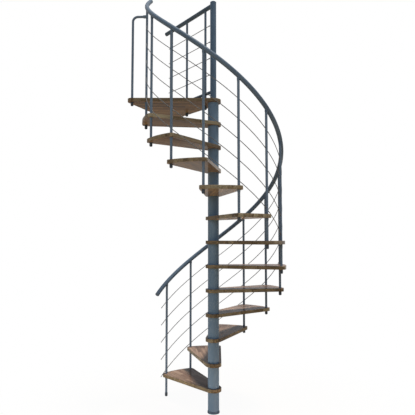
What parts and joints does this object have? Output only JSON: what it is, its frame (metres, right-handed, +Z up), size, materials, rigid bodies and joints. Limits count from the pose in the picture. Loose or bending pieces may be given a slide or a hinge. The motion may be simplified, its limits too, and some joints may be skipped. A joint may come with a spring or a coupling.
{
  "type": "spiral staircase",
  "caption": "Spiral staircase with wooden treads on a sleeved round pole, round balusters, a helical handrail with filler wires and a railed landing.",
  "frame": {"origin": "on the pole axis at floor level, on the underside of the post and its base flange", "axes": "+Z up along the pole; +X to the right and +Y away from the viewer in the pictured view; the stair climbs clockwise seen from above"},
  "size_m": [1.5262, 1.3818, 4.0866],
  "materials": {
    "painted_steel": "satin blue-grey paint",
    "dark_fittings": "dark satin",
    "wood": "satin varnish",
    "wire_steel": "drawn steel"
  },
  "bodies": {
    "root": {"base_flange": "dark_fittings", "centre_post": "painted_steel", "pole_sleeves": "painted_steel", "post_cap": "painted_steel", "tread_01": "wood", "tread_02": "wood", "tread_03": "wood", "tread_04": "wood", "tread_05": "wood", "tread_06": "wood", "tread_07": "wood", "tread_08": "wood", "tread_09": "wood", "tread_10": "wood", "tread_11": "wood", "tread_12": "wood", "landing": "wood", "balusters": "painted_steel", "baluster_feet": "dark_fittings", "tread_collars": "dark_fittings", "handrail": "painted_steel", "rail_saddles": "dark_fittings", "wire_1": "wire_steel", "wire_2": "wire_steel", "wire_3": "wire_steel", "wire_4": "wire_steel", "wire_5": "wire_steel", "wire_ends": "dark_fittings", "landing_handrail": "painted_steel", "landing_balusters": "painted_steel", "landing_wires": "wire_steel", "landing_lower_rail": "dark_fittings", "guard_rod": "painted_steel", "guard_connector": "dark_fittings"}
  },
  "joints": []
}
